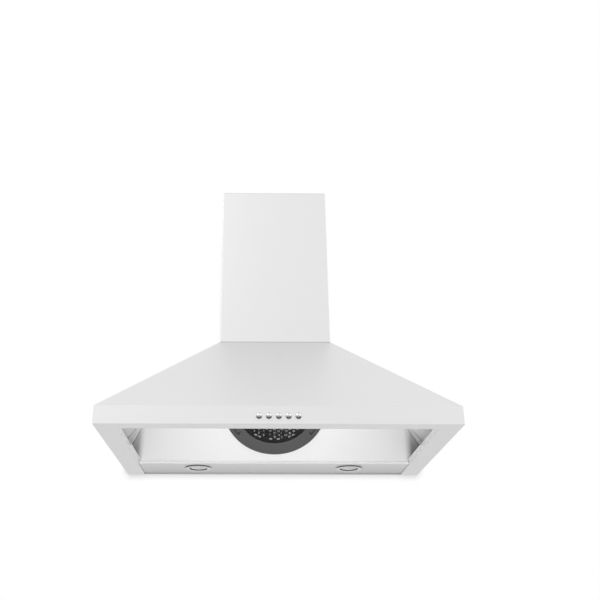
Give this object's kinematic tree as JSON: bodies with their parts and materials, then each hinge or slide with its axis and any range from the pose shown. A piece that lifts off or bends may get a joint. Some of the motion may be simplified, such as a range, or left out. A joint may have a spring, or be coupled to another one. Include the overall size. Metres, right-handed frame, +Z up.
{
  "type": "wall-mounted chimney range hood",
  "caption": "Wall-mounted pyramid chimney range hood with push-buttons, rear lamps, an inclined honeycomb air inlet with its blower, a top duct collar with damper and a telescoping cover.",
  "frame": {"origin": "midpoint between the two wall screw holes in the back panel's tab, on the wall plane", "axes": "+Z up, +Y into the wall, +X to the right as seen from in front; the front faces -Y"},
  "size_m": [0.76, 0.5055, 0.681],
  "materials": {
    "stainless_outer": "fine brushed",
    "stainless_inner": "fine brushed",
    "galvanised_steel": "dull zinc",
    "fastener_steel": "zinc plated",
    "spring_steel": "bright wire",
    "bright_chrome": "polished",
    "lamp_glass": "frosted",
    "lamp_metal": "satin",
    "grey_plastic": "fine grained",
    "guard_plastic": "fine grained",
    "black_plastic": "fine grained",
    "white_plastic": "smooth",
    "wheel_metal": "mill finish",
    "motor_enamel": "satin",
    "motor_steel": "ground",
    "dark_rubber": "matt"
  },
  "bodies": {
    "hood": {"button_spring_1": "spring_steel", "button_spring_2": "spring_steel", "button_spring_3": "spring_steel", "button_spring_4": "spring_steel", "button_spring_5": "spring_steel", "cable_gland": "black_plastic", "canopy_back_panel": "galvanised_steel", "canopy_front_sheet": "stainless_outer", "canopy_side_left": "stainless_outer", "canopy_side_right": "stainless_outer", "canopy_top_plate": "stainless_outer", "capacitor_clip": "galvanised_steel", "chimney_lower_cover": "stainless_outer", "collar_gasket": "dark_rubber", "collar_screws": "fastener_steel", "damper_pin": "fastener_steel", "duct_collar": "black_plastic", "gusset_left": "stainless_inner", "gusset_right": "stainless_inner", "inlet_guard": "guard_plastic", "inlet_panel": "stainless_inner", "inlet_ring": "grey_plastic", "junction_box": "galvanised_steel", "junction_box_lid": "galvanised_steel", "junction_lid_screws": "fastener_steel", "lamp_bezel_left": "bright_chrome", "lamp_bezel_right": "bright_chrome", "lamp_body_left": "lamp_metal", "lamp_body_right": "lamp_metal", "lamp_clips": "spring_steel", "lamp_driver": "white_plastic", "lamp_lens_left": "lamp_glass", "lamp_lens_right": "lamp_glass", "motor_bearings": "motor_steel", "motor_grommets": "dark_rubber", "motor_housing": "motor_enamel", "motor_screws": "fastener_steel", "motor_stator": "motor_steel", "rear_light_strip": "stainless_inner", "run_capacitor": "white_plastic", "scroll_back_plate": "galvanised_steel", "scroll_wrapper": "galvanised_steel", "switch_body": "black_plastic", "switch_bracket": "galvanised_steel", "switch_screws": "fastener_steel", "terminal_block": "white_plastic"},
    "chimney_upper": {"chimney_upper_cover": "stainless_outer", "ceiling_bracket": "galvanised_steel", "chimney_screws": "fastener_steel"},
    "impeller": {"impeller": "wheel_metal", "motor_shaft": "motor_steel", "motor_rotor": "motor_steel", "impeller_nut": "fastener_steel"},
    "damper_front": {"damper_flap_front": "black_plastic"},
    "damper_rear": {"damper_flap_rear": "black_plastic"},
    "button_1": {"button_1": "bright_chrome"},
    "button_2": {"button_2": "bright_chrome"},
    "button_3": {"button_3": "bright_chrome"},
    "button_4": {"button_4": "bright_chrome"},
    "button_5": {"button_5": "bright_chrome"}
  },
  "joints": [
    {"name": "chimney_slide", "type": "slide", "parent": "hood", "child": "chimney_upper", "axis": [0, 0, 1], "range_m": [0, 0.3]},
    {"name": "impeller_spin", "type": "hinge", "parent": "hood", "child": "impeller", "pos_m": [0, -0.21657, -0.16922], "axis": [0, -0.7314, -0.682], "continuous": true},
    {"name": "damper_front_lift", "type": "hinge", "parent": "hood", "child": "damper_front", "pos_m": [0, -0.142, 0.009], "axis": [-1, 0, 0], "range_deg": [0, 80]},
    {"name": "damper_rear_lift", "type": "hinge", "parent": "hood", "child": "damper_rear", "pos_m": [0, -0.142, 0.009], "axis": [1, 0, 0], "range_deg": [0, 80]},
    {"name": "button_1_press", "type": "slide", "parent": "hood", "child": "button_1", "axis": [0, 1, 0], "range_m": [0, 0.003], "stiffness_N_per_m": 400, "springref_m": -0.001, "deforming": ["button_spring_1"]},
    {"name": "button_2_press", "type": "slide", "parent": "hood", "child": "button_2", "axis": [0, 1, 0], "range_m": [0, 0.003], "stiffness_N_per_m": 400, "springref_m": -0.001, "deforming": ["button_spring_2"]},
    {"name": "button_3_press", "type": "slide", "parent": "hood", "child": "button_3", "axis": [0, 1, 0], "range_m": [0, 0.003], "stiffness_N_per_m": 400, "springref_m": -0.001, "deforming": ["button_spring_3"]},
    {"name": "button_4_press", "type": "slide", "parent": "hood", "child": "button_4", "axis": [0, 1, 0], "range_m": [0, 0.003], "stiffness_N_per_m": 400, "springref_m": -0.001, "deforming": ["button_spring_4"]},
    {"name": "button_5_press", "type": "slide", "parent": "hood", "child": "button_5", "axis": [0, 1, 0], "range_m": [0, 0.003], "stiffness_N_per_m": 400, "springref_m": -0.001, "deforming": ["button_spring_5"]}
  ]
}
